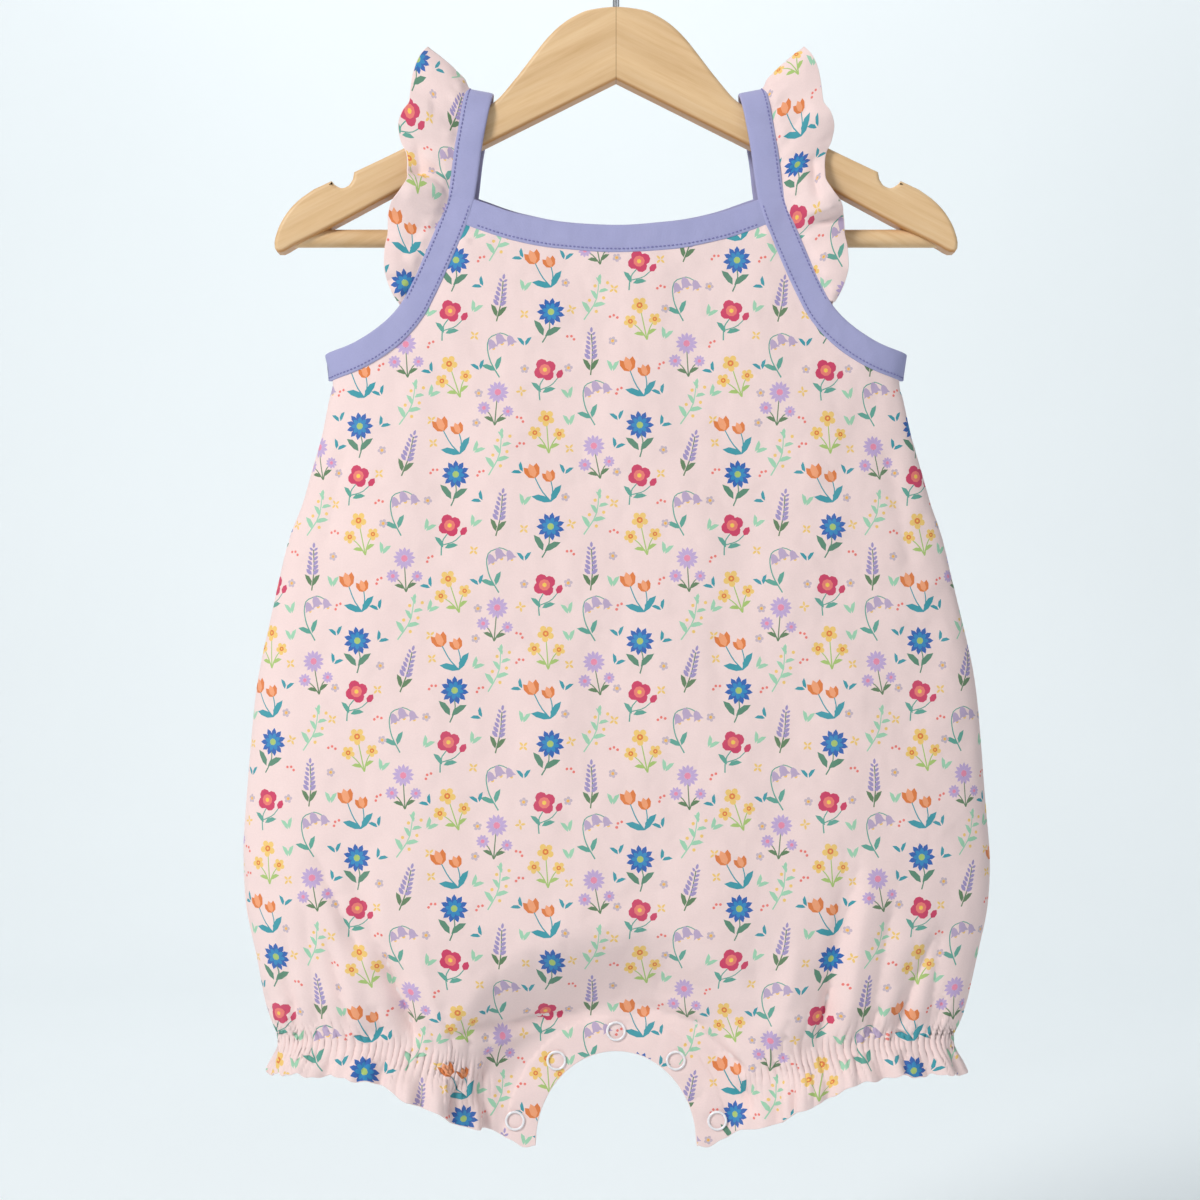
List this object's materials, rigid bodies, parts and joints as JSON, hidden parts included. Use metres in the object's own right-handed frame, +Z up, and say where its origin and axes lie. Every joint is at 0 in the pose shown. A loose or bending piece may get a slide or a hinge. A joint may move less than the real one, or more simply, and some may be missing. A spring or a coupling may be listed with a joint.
{
  "type": "baby romper on a wooden hanger",
  "caption": "Sleeveless bubble romper with strap bindings, flutter sleeves, gathered ruffled leg hems and a snapped inner leg, hanging on a small wooden hanger.",
  "frame": {"origin": "where a rail touches the inside of the hook, in the middle of the wire", "axes": "+Z up; the romper's front faces -Y; +X to the right as seen from the front"},
  "size_m": [0.33, 0.061, 0.5614],
  "materials": {
    "floral_jersey": "soft cotton jersey, pale pink with a small print of many flowers and leaves",
    "binding_jersey": "plain lavender cotton jersey binding with one line of stitching",
    "snap_cap": "white enamelled ring",
    "snap_metal": "plated stud",
    "hanger_wood": "pale varnished wood with a fine grain",
    "hook_metal": "bright steel wire"
  },
  "bodies": {
    "root": {"romper_front": "floral_jersey", "romper_back": "floral_jersey", "neck_binding_front": "binding_jersey", "neck_binding_back": "binding_jersey", "armhole_binding_left": "binding_jersey", "armhole_binding_right": "binding_jersey", "flutter_sleeve_left": "floral_jersey", "flutter_sleeve_right": "floral_jersey", "snap_ring_front_1": "snap_cap", "snap_ring_front_2": "snap_cap", "snap_ring_front_3": "snap_cap", "snap_ring_front_4": "snap_cap", "snap_ring_front_5": "snap_cap", "snap_ring_back_1": "snap_cap", "snap_ring_back_2": "snap_cap", "snap_ring_back_3": "snap_cap", "snap_ring_back_4": "snap_cap", "snap_ring_back_5": "snap_cap", "snap_stud_1": "snap_metal", "snap_stud_2": "snap_metal", "snap_stud_3": "snap_metal", "snap_stud_4": "snap_metal", "snap_stud_5": "snap_metal", "hanger_wood": "hanger_wood", "hanger_bar": "hanger_wood", "hanger_hook": "hook_metal"}
  },
  "joints": []
}
